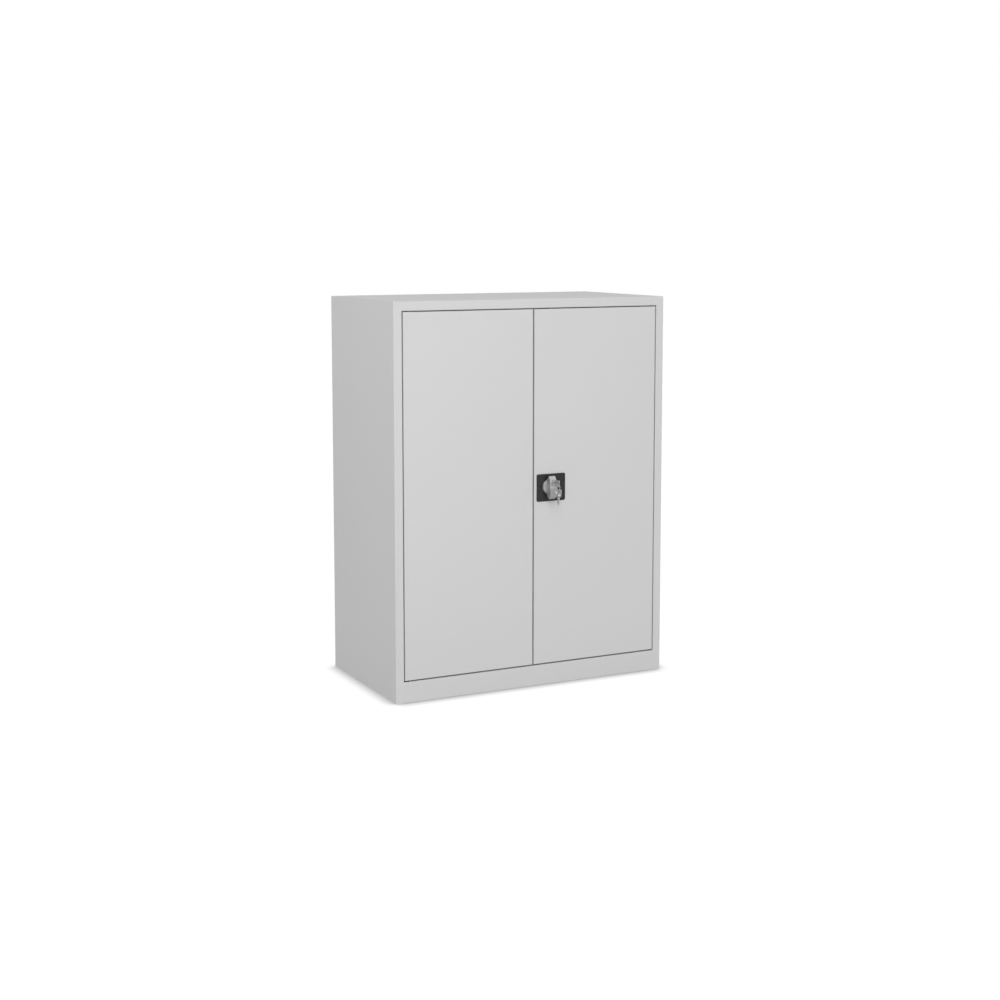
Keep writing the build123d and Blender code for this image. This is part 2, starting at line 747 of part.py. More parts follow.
with BuildPart() as pinion:
    with BuildSketch(facing(gear_plane_depth, spindle_x, spindle_z)):
        with BuildLine():
            Polyline(*pinion_outline(), close=True)
        make_face()
    extrude(amount=-gear_thickness)
    with BuildSketch(facing(sheet + clearance, spindle_x, spindle_z)):
        Circle(hub_diameter / 2)
    extrude(amount=-(cover_depth + case_wall - sheet - clearance))
    with BuildSketch(facing(0, spindle_x, spindle_z)):
        Rectangle(spindle_square + 2 * running_fit, spindle_square + 2 * running_fit)
    extrude(amount=-door_thickness - overrun, mode=Mode.SUBTRACT)
save(pinion, "pinion")

# The upper rack's foot stands over the pinion, the lower one passes under the upper rack
upper_foot_top = pitch_radius + addendum + 2 * clearance + foot_height
lower_foot_top = (rack_teeth - 1) * tooth_pitch + 2 * clearance + foot_height
foot_shift = rod_x - spindle_x
with BuildPart() as upper_rack:
    with BuildSketch(facing(gear_plane_depth, spindle_x, spindle_z)):
        with BuildLine():
            Polyline(*rack_outline(upper_foot_top), close=True)
        make_face()
    extrude(amount=-gear_thickness)
    with BuildSketch(Plane.XY.offset(spindle_z)):
        with Locations((rod_x, front + rod_depth)):
            Circle(rod_spigot / 2 + running_fit)
    extrude(amount=upper_foot_top + overrun, mode=Mode.SUBTRACT)
save(upper_rack, "upper_rack")

lower_points = []
for x, z in rack_outline(lower_foot_top):
    foot_point = x < pitch_radius - addendum
    lower_points.append((foot_shift + foot_wall if foot_point else -x, -z))
with BuildPart() as lower_rack:
    with BuildSketch(facing(gear_plane_depth, spindle_x, spindle_z)):
        with BuildLine():
            Polyline(*lower_points, close=True)
        make_face()
    extrude(amount=-gear_thickness)
    with BuildSketch(Plane.XY.offset(spindle_z)):
        with Locations((rod_x, front + rod_depth)):
            Circle(rod_spigot / 2 + running_fit)
    extrude(amount=-lower_foot_top - overrun, mode=Mode.SUBTRACT)
save(lower_rack, "lower_rack")

# Rods: each stands on its rack's foot and ends just short of the frame
for name, seat, tip, out in (
    ("upper_rod", spindle_z + upper_foot_top, rail_underside - clearance, 1),
    ("lower_rod", spindle_z - lower_foot_top, plinth_height + clearance, -1),
):
    with BuildPart() as rod:
        with BuildSketch(Plane.XY.offset(seat)):
            with Locations((rod_x, front + rod_depth)):
                Circle(rod_diameter / 2)
        extrude(amount=tip - seat)
        chamfer(rod.faces().sort_by(Axis.Z)[-1 if out > 0 else 0].edges(), rod_chamfer)
        with BuildSketch(Plane.XY.offset(seat)):
            with Locations((rod_x, front + rod_depth)):
                Circle(rod_spigot / 2)
        extrude(amount=-out * foot_height)
    save(rod, name)

with BuildPart() as rod_guides:
    block_depth = rod_depth + rod_diameter / 2 + guide_wall - sheet
    block_width = rod_diameter + 2 * guide_wall
    for guide_z in (spindle_z - guide_spacing, spindle_z + guide_spacing):
        with BuildSketch(Plane.XY.offset(guide_z)):
            with Locations((rod_x, front + sheet + block_depth / 2)):
                Rectangle(block_width, block_depth)
            with Locations((rod_x, front + rod_depth)):
                Circle(rod_diameter / 2 + clearance, mode=Mode.SUBTRACT)
        extrude(amount=guide_height / 2, both=True)
save(rod_guides, "rod_guides")

# Lock case: room for both racks over their travel
case_half = pitch_radius + dedendum + rack_back + clearance
case_top = spindle_z + upper_foot_top + rod_travel + 2 * clearance
case_bottom = spindle_z - lower_foot_top - rod_travel - 2 * clearance
case_middle = (spindle_x, (case_top + case_bottom) / 2)
inner_height = case_top - case_bottom
post_x = case_half + case_wall + post_diameter / 4
post_z = inner_height / 2 - post_diameter / 2
posts = [
    (case_middle[0] + across * post_x, case_middle[1] + up * post_z) for across in (-1, 1) for up in (-1, 1)
]
with BuildPart() as lock_case:
    with BuildSketch(facing(sheet)):
        with Locations(case_middle):
            Rectangle(2 * (case_half + case_wall), inner_height + 2 * case_wall)
        with Locations(*posts):
            Circle(post_diameter / 2)
    extrude(amount=-case_depth)
    with BuildSketch(facing(sheet + case_wall)):
        with Locations(case_middle):
            Rectangle(2 * case_half, inner_height)
    extrude(amount=-case_depth, mode=Mode.SUBTRACT)
    with BuildSketch(facing(0, spindle_x, spindle_z)):
        Circle(hub_diameter / 2 + running_fit)
    extrude(amount=-sheet - 2 * case_wall, mode=Mode.SUBTRACT)
    with BuildSketch(facing(cover_depth)):
        with Locations(*posts):
            Circle(screw_diameter / 2)
    extrude(amount=screw_length, mode=Mode.SUBTRACT)
    with BuildSketch(Plane.XY.offset(case_bottom - overrun)):
        with Locations((rod_x, front + rod_depth)):
            Circle(rod_diameter / 2 + clearance)
    extrude(amount=inner_height + 2 * overrun, mode=Mode.SUBTRACT)
save(lock_case, "lock_case")

with BuildPart() as lock_case_cover:
    with BuildSketch(facing(cover_depth)):
        with Locations(case_middle):
            Rectangle(2 * (case_half + case_wall), inner_height + 2 * case_wall)
        with Locations(*posts):
            Circle(post_diameter / 2)
            Circle(screw_diameter / 2, mode=Mode.SUBTRACT)
        with Locations((spindle_x, spindle_z)):
            Circle(hub_diameter / 2 + running_fit, mode=Mode.SUBTRACT)
    extrude(amount=-case_wall)
save(lock_case_cover, "lock_case_cover")

with BuildPart() as lock_case_screws:
    with BuildSketch(facing(cover_depth + case_wall)):
        with Locations(*posts):
            Circle(screw_head_diameter / 2)
    extrude(amount=-screw_head_height)
    with BuildSketch(facing(cover_depth + case_wall)):
        with Locations(*posts):
            Circle(screw_diameter / 2)
    extrude(amount=screw_length)
save(lock_case_screws, "lock_case_screws")

# Latch tongue, upright until the knob is turned, and the keeper that it swings behind
with BuildPart() as latch_tongue:
    with BuildSketch(facing(tongue_front, spindle_x, spindle_z)):
        Circle(tongue_hub / 2)
        with Locations((0, (tongue_length - tongue_width / 2) / 2)):
            Rectangle(tongue_width, tongue_length - tongue_width / 2)
        with Locations((0, tongue_length - tongue_width / 2)):
            Circle(tongue_width / 2)
        Rectangle(spindle_square + 2 * running_fit, spindle_square + 2 * running_fit, mode=Mode.SUBTRACT)
    extrude(amount=-tongue_thickness)
save(latch_tongue, "latch_tongue")

keeper_middle = centre_keeper_sheet / 2
foot_y = front + door_thickness + keeper_middle
hook_y = front + tongue_back + tongue_gap + keeper_middle
riser_z = spindle_z - tongue_width / 2 - 2 * centre_keeper_sheet
keeper_section = [
    (foot_y, riser_z - centre_keeper_foot),
    (foot_y, riser_z),
    (hook_y, riser_z),
    (hook_y, spindle_z + centre_keeper_reach),
]
keeper_start = -centre_gap / 2 - (door_return + centre_keeper_width) / 2
keeper_plane = Plane.YZ.offset(keeper_start)
blank = folded(keeper_section, keeper_plane, centre_keeper_width, centre_keeper_sheet, centre_keeper_sheet)
with BuildPart() as centre_keeper:
    add(blank)
save(centre_keeper, "centre_keeper")

print(f"rod travel {rod_travel:.2f} over a quarter turn, lock stands {lock_reach:.1f} out of the doors")
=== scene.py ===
import json
import math

import bpy
import numpy as np
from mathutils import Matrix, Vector


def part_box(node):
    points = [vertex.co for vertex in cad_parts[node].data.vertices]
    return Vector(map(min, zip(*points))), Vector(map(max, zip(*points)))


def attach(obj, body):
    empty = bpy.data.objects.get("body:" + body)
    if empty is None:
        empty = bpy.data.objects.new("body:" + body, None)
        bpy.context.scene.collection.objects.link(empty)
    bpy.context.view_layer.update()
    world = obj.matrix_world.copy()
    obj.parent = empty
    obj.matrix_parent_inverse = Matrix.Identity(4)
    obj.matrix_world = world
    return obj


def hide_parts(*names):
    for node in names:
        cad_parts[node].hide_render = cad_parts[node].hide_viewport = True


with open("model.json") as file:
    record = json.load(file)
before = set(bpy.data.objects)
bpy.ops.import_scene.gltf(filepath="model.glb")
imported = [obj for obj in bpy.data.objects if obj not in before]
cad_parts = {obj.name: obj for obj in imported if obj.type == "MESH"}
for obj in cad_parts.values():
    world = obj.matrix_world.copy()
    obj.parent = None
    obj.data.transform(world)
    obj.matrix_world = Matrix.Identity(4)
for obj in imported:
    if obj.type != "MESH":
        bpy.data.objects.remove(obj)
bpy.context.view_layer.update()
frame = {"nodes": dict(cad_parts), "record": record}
nodes = frame["nodes"]


# Places read from the frame, in metres
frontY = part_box("left_door_panel")[0].y             # front face of the doors
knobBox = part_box("handle_knob")
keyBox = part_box("key")
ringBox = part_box("key_ring")
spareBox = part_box("spare_key")
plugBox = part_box("cylinder_plug")
spindleX = (knobBox[0].x + knobBox[1].x) / 2
keyZ = (keyBox[0].z + keyBox[1].z) / 2


def addObject(name, data):
    thing = bpy.data.objects.new(name, data)
    bpy.context.scene.collection.objects.link(thing)
    return thing


def lookAlong(thing, place, direction):
    # the thing's own -Z points along the direction, with its Y upwards
    thing.location = place
    thing.rotation_mode = "QUATERNION"
    thing.rotation_quaternion = Vector(direction).to_track_quat("-Z", "Y")


# Camera at the photo's angle: degrees, metres, and millimetres for the lens
camera = {
    "azimuth": -26.74,
    "elevation": 6.55,
    "place": (-2.0568, frontY - 3.8845, 1.2117),
    "focal": 60.23,
    "sensor": 36.0,
    "shiftY": -0.075,
    "clip": (0.05, 60.0),
}


def makeCamera():
    data = bpy.data.cameras.new("camera")
    data.lens = camera["focal"]
    data.sensor_width = camera["sensor"]
    data.shift_y = camera["shiftY"]
    data.clip_start, data.clip_end = camera["clip"]
    a, e = math.radians(camera["azimuth"]), math.radians(camera["elevation"])
    forward = (-math.sin(a) * math.cos(e), math.cos(a) * math.cos(e), -math.sin(e))
    cam = addObject("camera", data)
    lookAlong(cam, camera["place"], forward)
    bpy.context.scene.camera = cam


# Small helpers for node trees
def nodeTree(owner):
    owner.use_nodes = True
    owner.node_tree.nodes.clear()
    return owner.node_tree


def addNode(tree, kind, inputs=None, **settings):
    # a shader node with its settings; an input is linked where its value is a socket
    node = tree.nodes.new("ShaderNode" + kind)
    for name, value in settings.items():
        setattr(node, name, value)
    for key, value in (inputs or {}).items():
        if isinstance(value, bpy.types.NodeSocket):
            tree.links.new(value, node.inputs[key])
        else:
            node.inputs[key].default_value = value
    return node


def mathNode(tree, operation, *values, clamp=False):
    return addNode(tree, "Math", dict(enumerate(values)), operation=operation, use_clamp=clamp).outputs[0]


def times(tree, a, b, clamp=False):
    return mathNode(tree, "MULTIPLY", a, b, clamp=clamp)


def plus(tree, a, b):
    return mathNode(tree, "ADD", a, b)


def minus(tree, a, b, clamp=False):
    return mathNode(tree, "SUBTRACT", a, b, clamp=clamp)


def vectorMath(tree, operation, *vectors):
    return addNode(tree, "VectorMath", dict(enumerate(vectors)), operation=operation).outputs


def splitVector(tree, vector):
    return addNode(tree, "SeparateXYZ", {0: vector}).outputs


def objectPlace(tree):
    return addNode(tree, "TexCoord").outputs["Object"]


def faceNormal(tree):
    return addNode(tree, "NewGeometry").outputs["Normal"]


def smoothRange(tree, value, start, end):
    # an S-shaped rise: start is the range of the value, end is what its two ends become
    inputs = {"Value": value, "From Min": start[0], "From Max": start[1], "To Min": end[0], "To Max": end[1]}
    return addNode(tree, "MapRange", inputs, interpolation_type="SMOOTHSTEP").outputs[0]


def noiseAt(tree, vector, scale, detail):
    return addNode(tree, "TexNoise", {"Vector": vector, "Scale": scale, "Detail": detail}).outputs["Fac"]


def mixColour(tree, factor, first, second):
    # inputs 6 and 7 of a colour Mix are its two colours, and output 2 is the result
    return addNode(tree, "Mix", {"Factor": factor, 6: first, 7: second}, data_type="RGBA").outputs[2]


def mixShader(tree, factor, first, second):
    return addNode(tree, "MixShader", {0: factor, 1: first.outputs[0], 2: second.outputs[0]})


def grey(value):
    return (value, value, value, 1.0)


# Floor and soft light
studio = {
    "worldLight": 0.51,
    "worldLightBehind": 1.5,    # the backdrop behind the cabinet lights its back
    "worldTurn": 0.3,           # how far round to the back that light begins
    "worldSeen": 1.0,
    "glossLow": 0.30,           # what bare metal mirrors at the horizon
    "glossHigh": 1.35,          # and overhead
    "glossRise": 0.8,           # how steep a direction counts as overhead
    "glossTone": 0.8,           # grey of the mirrored light
    "floorSize": 30.0,
    "floorTone": 0.46,          # what the floor gives back close to the cabinet
    "floorFarTone": 0.34,       # and far from it, where the lamps don't reach
    "floorFade": (0.9, 3.2),
    "floorSeen": 1.02,          # what the camera sees of it, away from the cabinet
    "shadowReach": 0.05,
    "shadowTone": 0.45,
    "shadowCore": 0.35,         # openness of the floor below which the contact shadow is full
    "shadowSamples": 16,
}
lamps = {
    # name: place, aim, width, height, watts
    "keySoftbox": ((-1.0, -3.2, 2.6), (0.0, -0.2, 0.6), 1.8, 1.5, 60),
    "frontFill": ((0.1, -5.0, 0.52), (0.0, -0.2, 0.52), 2.8, 0.95, 69),
    "leftSoftbox": ((-2.8, 0.1, 1.65), (0.0, 0.0, 1.05), 1.4, 1.4, 26.5),
    "rightSoftbox": ((3.3, 0.1, 1.55), (0.0, 0.0, 0.7), 1.6, 1.6, 36),
}


def makeWorld():
    # one background for the camera, one that lights matt faces and one that gloss mirrors
    world = bpy.data.worlds.new("studio")
    bpy.context.scene.world = world
    tree = nodeTree(world)
    direction = splitVector(tree, addNode(tree, "TexCoord").outputs["Generated"])
    behind = smoothRange(
        tree, direction["Y"], (studio["worldTurn"], 1.0), (studio["worldLight"], studio["worldLightBehind"])
    )
    overhead = smoothRange(
        tree, direction["Z"], (0.0, studio["glossRise"]), (studio["glossLow"], studio["glossHigh"])
    )
    seen = addNode(tree, "Background", {"Color": grey(1.0), "Strength": studio["worldSeen"]})
    lit = addNode(tree, "Background", {"Color": grey(1.0), "Strength": behind})
    mirrored = addNode(tree, "Background", {"Color": grey(studio["glossTone"]), "Strength": overhead})
    path = addNode(tree, "LightPath").outputs
    received = mixShader(tree, path["Is Glossy Ray"], lit, mirrored)
    shown = mixShader(tree, path["Is Camera Ray"], received, seen)
    addNode(tree, "OutputWorld", {"Surface": shown.outputs[0]})


def makeFloor():
    half = studio["floorSize"] / 2
    corners = [(-half, -half, 0), (half, -half, 0), (half, half, 0), (-half, half, 0)]
    mesh = bpy.data.meshes.new("studioFloor")
    mesh.from_pydata(corners, [], [(0, 1, 2, 3)])
    material = bpy.data.materials.new("paleFloor")
    tree = nodeTree(material)
    away = vectorMath(tree, "LENGTH", objectPlace(tree))["Value"]
    tone = smoothRange(tree, away, studio["floorFade"], (studio["floorTone"], studio["floorFarTone"]))
    felt = addNode(tree, "BsdfDiffuse", {"Color": tone})
    # the camera sees an evenly lit sweep that darkens only close under the cabinet
    near = addNode(tree, "AmbientOcclusion", {"Distance": studio["shadowReach"]}, samples=studio["shadowSamples"])
    glow = smoothRange(
        tree, near.outputs["AO"], (studio["shadowCore"], 1.0), (studio["shadowTone"], studio["floorSeen"])
    )
    sweep = addNode(tree, "Emission", {"Color": grey(1.0), "Strength": glow})
    shown = mixShader(tree, addNode(tree, "LightPath").outputs["Is Camera Ray"], felt, sweep)
    addNode(tree, "OutputMaterial", {"Surface": shown.outputs[0]})
    mesh.materials.append(material)
    addObject("studioFloor", mesh)


def makeLamps():
    for name, (place, aim, width, height, watts) in lamps.items():
        data = bpy.data.lights.new(name, "AREA")
        data.shape = "RECTANGLE"
        data.size, data.size_y = width, height
        data.energy = watts
        lookAlong(addObject(name, data), place, Vector(aim) - Vector(place))


makeCamera()
makeWorld()
makeFloor()
makeLamps()
bpy.context.scene.view_settings.view_transform = "Standard"
bpy.context.scene.view_settings.look = "None"
print("camera, floor and lights stand")


# Shader groups shared by the finishes; depths are in metres
effects = {
    "pebbleDepth": 0.000012,
    "rippleDepth": 0.00003,
    "waveDepth": 0.0006,
    "wearAndHighlightSamples": 4,
    "wearAndHighlightGain": 6.0,            # how soon a turned edge counts as worn and gets its painted highlight
    "dustUpright": 0.08,        # share of the dust that an upright face holds
    "dustSpecks": 700.0,
    "dustLeast": 0.3,           # dust between the specks
    "brushDepth": 0.000006,
    "weldFlat": 0.55,           # share of a dent's radius that is flat
}


def newGroup(name, inputs, outputs):
    # inputs by name and value, outputs by name; returns the group, what comes in and what goes out
    group = bpy.data.node_groups.new(name, "ShaderNodeTree")
    for label, value in inputs.items():
        kind = "NodeSocketVector" if isinstance(value, tuple) else "NodeSocketFloat"
        group.interface.new_socket(name=label, in_out="INPUT", socket_type=kind).default_value = value
    for label in outputs:
        group.interface.new_socket(name=label, in_out="OUTPUT", socket_type="NodeSocketFloat")
    return group, group.nodes.new("NodeGroupInput").outputs, group.nodes.new("NodeGroupOutput").inputs


def orangePeelGroup():
    # height of a powder coat: fine pebbles, broader ripples, and the slow waves of thin sheet under it
    inputs = {"Pebbles": 900.0, "Ripples": 240.0, "Waves": 3.0, "Wave Depth": 1.0}
    group, given, result = newGroup("orangePeel", inputs, ["Height", "Tone"])
    place = objectPlace(group)
    pebbles = noiseAt(group, place, given["Pebbles"], 1.0)
    ripples = noiseAt(group, place, given["Ripples"], 2.0)
    waves = noiseAt(group, place, given["Waves"], 0.0)
    fine = times(group, pebbles, effects["pebbleDepth"])
    broad = times(group, ripples, effects["rippleDepth"])
    slow = times(group, times(group, waves, effects["waveDepth"]), given["Wave Depth"])
    group.links.new(plus(group, plus(group, fine, broad), slow), result["Height"])
    group.links.new(minus(group, ripples, 0.5), result["Tone"])
    return group


def edgeWearAndHighlightGroup():
    # mask that is 1 where the rounded normal leaves the face's own normal, broken up by noise; it marks edge wear,
    # and the finishes also use it to paint an edge highlight
    inputs = {"Radius": 0.0008, "Amount": 0.5, "Grain": 400.0}
    group, given, result = newGroup("edgeWearAndHighlight", inputs, ["Mask"])
    rounded = addNode(group, "Bevel", {"Radius": given["Radius"]}, samples=effects["wearAndHighlightSamples"])
    same = vectorMath(group, "DOT_PRODUCT", rounded.outputs[0], faceNormal(group))["Value"]
    turned = minus(group, 1.0, same, clamp=True)
    grain = noiseAt(group, objectPlace(group), given["Grain"], 3.0)
    wearAndHighlight = times(group, turned, effects["wearAndHighlightGain"])
    mask = times(group, wearAndHighlight, times(group, grain, given["Amount"]), clamp=True)
    group.links.new(mask, result["Mask"])
    return group


def dustGroup():
    # thin dust: strongest where the face looks up, in soft clouds
    group, given, result = newGroup("dust", {"Amount": 0.2, "Clouds": 9.0}, ["Mask"])
    up = mathNode(group, "MAXIMUM", splitVector(group, faceNormal(group))["Z"], effects["dustUpright"])
    place = objectPlace(group)
    clouds = noiseAt(group, place, given["Clouds"], 4.0)
    specks = noiseAt(group, place, effects["dustSpecks"], 2.0)
    cover = times(group, clouds, plus(group, specks, effects["dustLeast"]))
    mask = times(group, times(group, up, cover), given["Amount"], clamp=True)
    group.links.new(mask, result["Mask"])
    return group


def brushGroup():
    # fine lines drawn along one axis: noise squeezed across it
    inputs = {"Stretch": (1.0, 1.0, 0.03), "Scale": 2500.0}
    group, given, result = newGroup("brushLines", inputs, ["Lines", "Height"])
    squeezed = vectorMath(group, "MULTIPLY", objectPlace(group), given["Stretch"])[0]
    lines = noiseAt(group, squeezed, given["Scale"], 2.0)
    group.links.new(lines, result["Lines"])
    group.links.new(times(group, lines, effects["brushDepth"]), result["Height"])
    return group


def spotWeldGroup():
    # round dents at equal steps along a line: 1 in each dent, by the distance from its middle
    inputs = {"Across": 0.0, "Along": 0.0, "Spacing": 0.085, "Radius": 0.0032}
    group, given, result = newGroup("spotWelds", inputs, ["Mask"])
    steps = mathNode(group, "ROUND", mathNode(group, "DIVIDE", given["Along"], given["Spacing"]))
    beside = minus(group, given["Along"], times(group, steps, given["Spacing"]))
    offset = addNode(group, "CombineXYZ", {"X": given["Across"], "Y": beside})
    away = vectorMath(group, "LENGTH", offset.outputs[0])["Value"]
    flat = times(group, given["Radius"], effects["weldFlat"])
    group.links.new(smoothRange(group, away, (flat, given["Radius"]), (1.0, 0.0)), result["Mask"])
    return group


orangePeel = orangePeelGroup()
edgeWearAndHighlight = edgeWearAndHighlightGroup()
dust = dustGroup()
brushLines = brushGroup()
spotWelds = spotWeldGroup()


def useGroup(tree, group, inputs):
    return addNode(tree, "Group", inputs, node_tree=group).outputs


def wornAndHighlitEdges(tree, radius, amount, grain):
    return useGroup(tree, edgeWearAndHighlight, {"Radius": radius, "Amount": amount, "Grain": grain})["Mask"]


def finishMaterial(tree, colour, rough, height, plain):
    # colour, roughness and height change over the surface; plain values are set on the shader's own sockets
    bump = addNode(tree, "Bump", {"Height": height, "Strength": 1.0, "Distance": 1.0})
    linked = {"Base Color": colour, "Roughness": rough, "Normal": bump.outputs[0]}
    shader = addNode(tree, "BsdfPrincipled", {**linked, **plain})
    addNode(tree, "OutputMaterial", {"Surface": shader.outputs[0]})


# Powder coats: own values of each, and the values that all three share
powderCoat = {
    "bodyPowderCoat": {
        "tone": 0.565, "toneLow": 0.55, "rough": 0.46, "waves": 3.0, "waveDepth": 0.6, "dust": 0.10, "welds": True,
    },
    "doorPowderCoat": {
        "tone": 0.565, "toneLow": 0.55, "rough": 0.46, "waves": 3.5, "waveDepth": 1.0, "dust": 0.08, "welds": False,
    },
    "innerPowderCoat": {
        "tone": 0.56, "toneLow": 0.545, "rough": 0.5, "waves": 3.0, "waveDepth": 0.6, "dust": 0.16, "welds": False,
    },
}
powderShared = {
    "clouds": 2.2,
    "wearAndHighlightRadius": 0.0012, "wearAndHighlightAmount": 0.12, "wearAndHighlightGrain": 500.0, "wornAndHighlightShade": 1.25,
    "dustColour": (0.56, 0.55, 0.53, 1.0), "dustRough": 0.5,
    "peelRough": 0.12,
    "specular": 0.35,
}

# Spot welds on the flanges round the back, from the body's middle: two upright rows and one under the top
backWelds = {
    "column": 0.391, "row": 1.031, "spacing": 0.085, "radius": 0.0034,
    "depth": 0.0003, "paintedShade": 0.9,
    "facing": 0.9,              # only on faces that look this much to the back
}


def weldMask(tree):
    place = splitVector(tree, objectPlace(tree))
    acrossColumn = minus(tree, mathNode(tree, "ABSOLUTE", place["X"]), backWelds["column"])
    acrossRow = minus(tree, place["Z"], backWelds["row"])
    plain = {"Spacing": backWelds["spacing"], "Radius": backWelds["radius"]}
    upright = useGroup(tree, spotWelds, {"Across": acrossColumn, "Along": place["Z"], **plain})
    level = useGroup(tree, spotWelds, {"Across": acrossRow, "Along": place["X"], **plain})
    dents = mathNode(tree, "MAXIMUM", upright["Mask"], level["Mask"])
    facing = splitVector(tree, faceNormal(tree))["Y"]
    return times(tree, dents, mathNode(tree, "GREATER_THAN", facing, backWelds["facing"]))


def makePowderCoat(name):
    size, shared = powderCoat[name], powderShared
    material = bpy.data.materials.new(name)
    tree = nodeTree(material)
    peel = useGroup(tree, orangePeel, {"Waves": size["waves"], "Wave Depth": size["waveDepth"]})
    wearAndHighlight = wornAndHighlitEdges(tree, shared["wearAndHighlightRadius"], shared["wearAndHighlightAmount"], shared["wearAndHighlightGrain"])
    film = useGroup(tree, dust, {"Amount": size["dust"]})["Mask"]
    clouds = noiseAt(tree, objectPlace(tree), shared["clouds"], 3.0)
    colour = mixColour(tree, clouds, grey(size["toneLow"]), grey(size["tone"]))
    # turned edges lightened: wear of the coat, and partly a painted edge highlight
    colour = mixColour(tree, wearAndHighlight, colour, grey(size["tone"] * shared["wornAndHighlightShade"]))
    colour = mixColour(tree, film, colour, shared["dustColour"])
    rough = plus(tree, times(tree, peel["Tone"], shared["peelRough"]), size["rough"])
    rough = plus(tree, rough, times(tree, film, shared["dustRough"]))
    height = peel["Height"]
    if size["welds"]:
        dents = weldMask(tree)
        height = minus(tree, height, times(tree, dents, backWelds["depth"]))
        # painted shade: the weld dents are darkened in colour as well as sunk
        colour = mixColour(tree, dents, colour, grey(size["tone"] * backWelds["paintedShade"]))
    finishMaterial(tree, colour, rough, height, {"Specular IOR Level": shared["specular"]})
    return material


# Bare metals: two tones with brush lines between them, and how much the lines change the roughness
bareMetal = {
    "zincPlate": {
        "tone": (0.46, 0.47, 0.49, 1.0), "second": (0.52, 0.51, 0.47, 1.0), "rough": 0.38, "spread": 0.16,
        "stretch": (1.0, 1.0, 1.0), "scale": 180.0, "wearAndHighlightAmount": 0.3, "metal": 1.0,
    },
    "drawnRod": {
        "tone": (0.44, 0.45, 0.46, 1.0), "second": (0.5, 0.5, 0.5, 1.0), "rough": 0.3, "spread": 0.16,
        "stretch": (1.0, 1.0, 0.02), "scale": 2500.0, "wearAndHighlightAmount": 0.2, "metal": 1.0,
    },
    "satinChrome": {
        "tone": (0.40, 0.40, 0.405, 1.0), "second": (0.44, 0.44, 0.44, 1.0), "rough": 0.40, "spread": 0.16,
        "stretch": (1.0, 1.0, 0.4), "scale": 1600.0, "wearAndHighlightAmount": 0.5, "metal": 0.5,
    },
    "nickelPlate": {
        "tone": (0.51, 0.51, 0.505, 1.0), "second": (0.58, 0.58, 0.57, 1.0), "rough": 0.29, "spread": 0.07,
        "stretch": (1.0, 1.0, 0.25), "scale": 2200.0, "wearAndHighlightAmount": 0.25, "metal": 0.85,
    },
}
metalShared = {"wearAndHighlightRadius": 0.0005, "wearAndHighlightGrain": 900.0, "wornAndHighlightColour": (0.75, 0.74, 0.72, 1.0)}


def makeBareMetal(name):
    size, shared = bareMetal[name], metalShared
    material = bpy.data.materials.new(name)
    tree = nodeTree(material)
    brush = useGroup(tree, brushLines, {"Stretch": size["stretch"], "Scale": size["scale"]})
    wearAndHighlight = wornAndHighlitEdges(tree, shared["wearAndHighlightRadius"], size["wearAndHighlightAmount"], shared["wearAndHighlightGrain"])
    colour = mixColour(tree, brush["Lines"], size["tone"], size["second"])
    # turned edges brightened: wear of the plating, and partly a painted edge highlight
    colour = mixColour(tree, wearAndHighlight, colour, shared["wornAndHighlightColour"])
    rough = plus(tree, times(tree, brush["Lines"], size["spread"]), size["rough"] - size["spread"] / 2)
    finishMaterial(tree, colour, rough, brush["Height"], {"Metallic": size["metal"]})
    return material


# Black plate, nylon and rubber
moulded = {
    "blackPlate": {"tone": 0.009, "second": 0.014, "rough": 0.34, "grain": 1400.0, "wearAndHighlightAmount": 0.25, "dust": 0.04},
    "darkNylon": {"tone": 0.02, "second": 0.03, "rough": 0.5, "grain": 900.0, "wearAndHighlightAmount": 0.1, "dust": 0.1},
    "blackRubber": {"tone": 0.012, "second": 0.02, "rough": 0.75, "grain": 1200.0, "wearAndHighlightAmount": 0.05, "dust": 0.2},
}
mouldedShared = {
    "clouds": 60.0,
    "rippleShare": 3,           # ripples this many times as broad as the grain
    "wearAndHighlightRadius": 0.0006, "wearAndHighlightGrain": 800.0, "wornAndHighlightTone": 0.16,
    "dustColour": (0.3, 0.29, 0.28, 1.0),
    "peelRough": 0.2,
}


def makeMoulded(name):
    size, shared = moulded[name], mouldedShared
    material = bpy.data.materials.new(name)
    tree = nodeTree(material)
    ripples = size["grain"] / shared["rippleShare"]
    peel = useGroup(tree, orangePeel, {"Pebbles": size["grain"], "Ripples": ripples, "Wave Depth": 0.0})
    wearAndHighlight = wornAndHighlitEdges(tree, shared["wearAndHighlightRadius"], size["wearAndHighlightAmount"], shared["wearAndHighlightGrain"])
    film = useGroup(tree, dust, {"Amount": size["dust"]})["Mask"]
    clouds = noiseAt(tree, objectPlace(tree), shared["clouds"], 3.0)
    colour = mixColour(tree, clouds, grey(size["tone"]), grey(size["second"]))
    # turned edges lightened: wear of the moulding, and partly a painted edge highlight
    colour = mixColour(tree, wearAndHighlight, colour, grey(shared["wornAndHighlightTone"]))
    colour = mixColour(tree, film, colour, shared["dustColour"])
    rough = plus(tree, times(tree, peel["Tone"], shared["peelRough"]), size["rough"])
    finishMaterial(tree, colour, rough, peel["Height"], {})
    return material


